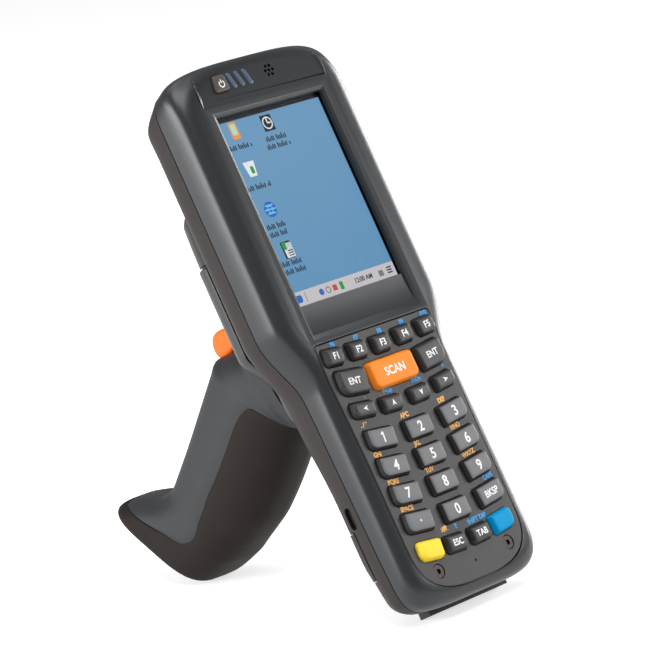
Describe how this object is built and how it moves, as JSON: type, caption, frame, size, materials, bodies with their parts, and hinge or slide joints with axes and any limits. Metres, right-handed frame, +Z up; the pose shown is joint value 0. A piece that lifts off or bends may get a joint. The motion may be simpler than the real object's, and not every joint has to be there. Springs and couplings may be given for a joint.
{
  "type": "portable barcode data terminal",
  "caption": "Handheld barcode data terminal with colour display, full keypad, scan window, and a pistol grip with a trigger.",
  "frame": {"origin": "middle of the bounding box at the ground, with the terminal standing on its dock foot and on the heel of its grip", "axes": "+X to the user's right of the display, +Z up along the terminal's height, -Y towards the user who looks at the display"},
  "size_m": [0.077, 0.1593, 0.1816],
  "materials": {
    "housing_grey": "matt dark grey moulded plastic",
    "housing_brown": "matt warm grey moulded plastic",
    "keypad_black": "fine matt near-black plastic",
    "display_module": "lit colour display",
    "touch_glass": "clear touch panel with a black border",
    "gasket_black": "black foam gasket",
    "key_dark": "dark moulded key",
    "key_grey": "mid grey moulded key",
    "key_orange": "orange moulded key",
    "key_yellow": "yellow moulded key",
    "key_blue": "blue moulded key",
    "power_brown": "brown grey moulded key",
    "light_pipe": "smoky blue translucent light pipe",
    "black_parts": "black moulded plastic",
    "metal_steel": "bright steel",
    "dome_film": "film with snap domes",
    "board_green": "green solder mask",
    "window_red": "dark red scan window",
    "latch_brown": "matt latch",
    "contact_gold": "gold plated contacts",
    "grip_grey": "smooth matt grey plastic",
    "grip_rubber": "soft matt brown-black rubber",
    "trigger_orange": "orange moulded trigger",
    "cable_film": "flat flexible cable"
  },
  "bodies": {
    "terminal": {"front_housing": "housing_grey", "rear_housing": "housing_brown", "keypad_plate": "keypad_black", "lcd_module": "display_module", "touch_panel": "touch_glass", "display_gasket": "gasket_black", "light_pipes": "light_pipe", "speaker": "black_parts", "microphone": "metal_steel", "dome_sheet": "dome_film", "keypad_board": "board_green", "main_board": "board_green", "keypad_screws": "metal_steel", "housing_screws": "metal_steel", "scan_window": "window_red", "scan_engine": "black_parts", "battery_pack": "black_parts", "battery_cover": "housing_brown", "dock_connector": "black_parts", "dock_contacts": "contact_gold", "grip_saddle": "grip_grey", "grip_screws": "metal_steel", "grip_body": "grip_grey", "grip_overmould": "grip_rubber", "trigger_pin": "metal_steel", "trigger_spring": "metal_steel", "trigger_switch": "black_parts", "trigger_cable": "cable_film"},
    "key_f1": {"key_f1": "key_dark"},
    "key_f2": {"key_f2": "key_dark"},
    "key_f3": {"key_f3": "key_dark"},
    "key_f4": {"key_f4": "key_dark"},
    "key_f5": {"key_f5": "key_dark"},
    "key_enter_left": {"key_enter_left": "key_dark"},
    "key_scan": {"key_scan": "key_orange"},
    "key_enter_right": {"key_enter_right": "key_dark"},
    "key_left": {"key_left": "key_dark"},
    "key_up": {"key_up": "key_dark"},
    "key_down": {"key_down": "key_dark"},
    "key_right": {"key_right": "key_dark"},
    "key_1": {"key_1": "key_grey"},
    "key_2": {"key_2": "key_grey"},
    "key_3": {"key_3": "key_grey"},
    "key_4": {"key_4": "key_grey"},
    "key_5": {"key_5": "key_grey"},
    "key_6": {"key_6": "key_grey"},
    "key_7": {"key_7": "key_grey"},
    "key_8": {"key_8": "key_grey"},
    "key_9": {"key_9": "key_grey"},
    "key_point": {"key_point": "key_grey"},
    "key_0": {"key_0": "key_grey"},
    "key_backspace": {"key_backspace": "key_grey"},
    "key_yellow": {"key_yellow": "key_yellow"},
    "key_escape": {"key_escape": "key_dark"},
    "key_tab": {"key_tab": "key_dark"},
    "key_blue": {"key_blue": "key_blue"},
    "power_key_body": {"power_key": "power_brown"},
    "trigger_body": {"trigger": "trigger_orange"},
    "latch_body": {"battery_latch": "latch_brown"}
  },
  "joints": [
    {"name": "key_f1_press", "type": "slide", "parent": "terminal", "child": "key_f1", "axis": [0, 0.9207, -0.3902], "range_m": [0, 0.0006], "stiffness_N_per_m": 900, "springref_m": -0.0003},
    {"name": "key_f2_press", "type": "slide", "parent": "terminal", "child": "key_f2", "axis": [0, 0.9207, -0.3902], "range_m": [0, 0.0006], "stiffness_N_per_m": 900, "springref_m": -0.0003},
    {"name": "key_f3_press", "type": "slide", "parent": "terminal", "child": "key_f3", "axis": [0, 0.9207, -0.3902], "range_m": [0, 0.0006], "stiffness_N_per_m": 900, "springref_m": -0.0003},
    {"name": "key_f4_press", "type": "slide", "parent": "terminal", "child": "key_f4", "axis": [0, 0.9207, -0.3902], "range_m": [0, 0.0006], "stiffness_N_per_m": 900, "springref_m": -0.0003},
    {"name": "key_f5_press", "type": "slide", "parent": "terminal", "child": "key_f5", "axis": [0, 0.9207, -0.3902], "range_m": [0, 0.0006], "stiffness_N_per_m": 900, "springref_m": -0.0003},
    {"name": "key_enter_left_press", "type": "slide", "parent": "terminal", "child": "key_enter_left", "axis": [0, 0.9207, -0.3902], "range_m": [0, 0.0006], "stiffness_N_per_m": 900, "springref_m": -0.0003},
    {"name": "key_scan_press", "type": "slide", "parent": "terminal", "child": "key_scan", "axis": [0, 0.9207, -0.3902], "range_m": [0, 0.0006], "stiffness_N_per_m": 900, "springref_m": -0.0003},
    {"name": "key_enter_right_press", "type": "slide", "parent": "terminal", "child": "key_enter_right", "axis": [0, 0.9207, -0.3902], "range_m": [0, 0.0006], "stiffness_N_per_m": 900, "springref_m": -0.0003},
    {"name": "key_left_press", "type": "slide", "parent": "terminal", "child": "key_left", "axis": [0, 0.9207, -0.3902], "range_m": [0, 0.0006], "stiffness_N_per_m": 900, "springref_m": -0.0003},
    {"name": "key_up_press", "type": "slide", "parent": "terminal", "child": "key_up", "axis": [0, 0.9207, -0.3902], "range_m": [0, 0.0006], "stiffness_N_per_m": 900, "springref_m": -0.0003},
    {"name": "key_down_press", "type": "slide", "parent": "terminal", "child": "key_down", "axis": [0, 0.9207, -0.3902], "range_m": [0, 0.0006], "stiffness_N_per_m": 900, "springref_m": -0.0003},
    {"name": "key_right_press", "type": "slide", "parent": "terminal", "child": "key_right", "axis": [0, 0.9207, -0.3902], "range_m": [0, 0.0006], "stiffness_N_per_m": 900, "springref_m": -0.0003},
    {"name": "key_1_press", "type": "slide", "parent": "terminal", "child": "key_1", "axis": [0, 0.9207, -0.3902], "range_m": [0, 0.0006], "stiffness_N_per_m": 900, "springref_m": -0.0003},
    {"name": "key_2_press", "type": "slide", "parent": "terminal", "child": "key_2", "axis": [0, 0.9207, -0.3902], "range_m": [0, 0.0006], "stiffness_N_per_m": 900, "springref_m": -0.0003},
    {"name": "key_3_press", "type": "slide", "parent": "terminal", "child": "key_3", "axis": [0, 0.9207, -0.3902], "range_m": [0, 0.0006], "stiffness_N_per_m": 900, "springref_m": -0.0003},
    {"name": "key_4_press", "type": "slide", "parent": "terminal", "child": "key_4", "axis": [0, 0.9207, -0.3902], "range_m": [0, 0.0006], "stiffness_N_per_m": 900, "springref_m": -0.0003},
    {"name": "key_5_press", "type": "slide", "parent": "terminal", "child": "key_5", "axis": [0, 0.9207, -0.3902], "range_m": [0, 0.0006], "stiffness_N_per_m": 900, "springref_m": -0.0003},
    {"name": "key_6_press", "type": "slide", "parent": "terminal", "child": "key_6", "axis": [0, 0.9207, -0.3902], "range_m": [0, 0.0006], "stiffness_N_per_m": 900, "springref_m": -0.0003},
    {"name": "key_7_press", "type": "slide", "parent": "terminal", "child": "key_7", "axis": [0, 0.9207, -0.3902], "range_m": [0, 0.0006], "stiffness_N_per_m": 900, "springref_m": -0.0003},
    {"name": "key_8_press", "type": "slide", "parent": "terminal", "child": "key_8", "axis": [0, 0.9207, -0.3902], "range_m": [0, 0.0006], "stiffness_N_per_m": 900, "springref_m": -0.0003},
    {"name": "key_9_press", "type": "slide", "parent": "terminal", "child": "key_9", "axis": [0, 0.9207, -0.3902], "range_m": [0, 0.0006], "stiffness_N_per_m": 900, "springref_m": -0.0003},
    {"name": "key_point_press", "type": "slide", "parent": "terminal", "child": "key_point", "axis": [0, 0.9207, -0.3902], "range_m": [0, 0.0006], "stiffness_N_per_m": 900, "springref_m": -0.0003},
    {"name": "key_0_press", "type": "slide", "parent": "terminal", "child": "key_0", "axis": [0, 0.9207, -0.3902], "range_m": [0, 0.0006], "stiffness_N_per_m": 900, "springref_m": -0.0003},
    {"name": "key_backspace_press", "type": "slide", "parent": "terminal", "child": "key_backspace", "axis": [0, 0.9207, -0.3902], "range_m": [0, 0.0006], "stiffness_N_per_m": 900, "springref_m": -0.0003},
    {"name": "key_yellow_press", "type": "slide", "parent": "terminal", "child": "key_yellow", "axis": [0, 0.9207, -0.3902], "range_m": [0, 0.0006], "stiffness_N_per_m": 900, "springref_m": -0.0003},
    {"name": "key_escape_press", "type": "slide", "parent": "terminal", "child": "key_escape", "axis": [0, 0.9207, -0.3902], "range_m": [0, 0.0006], "stiffness_N_per_m": 900, "springref_m": -0.0003},
    {"name": "key_tab_press", "type": "slide", "parent": "terminal", "child": "key_tab", "axis": [0, 0.9207, -0.3902], "range_m": [0, 0.0006], "stiffness_N_per_m": 900, "springref_m": -0.0003},
    {"name": "key_blue_press", "type": "slide", "parent": "terminal", "child": "key_blue", "axis": [0, 0.9207, -0.3902], "range_m": [0, 0.0006], "stiffness_N_per_m": 900, "springref_m": -0.0003},
    {"name": "power_key_press", "type": "slide", "parent": "terminal", "child": "power_key_body", "axis": [0, 0.9207, -0.3902], "range_m": [0, 0.0006], "stiffness_N_per_m": 1200, "springref_m": -0.0003},
    {"name": "trigger_pull", "type": "hinge", "parent": "terminal", "child": "trigger_body", "pos_m": [0, 0.00372, 0.0937], "axis": [-1, 0, 0], "range_deg": [0, 9], "stiffness_Nm_per_rad": 0.6, "springref_deg": -8.59},
    {"name": "battery_latch_slide", "type": "slide", "parent": "terminal", "child": "latch_body", "axis": [0, 0.3902, 0.9207], "range_m": [0, 0.003]}
  ]
}
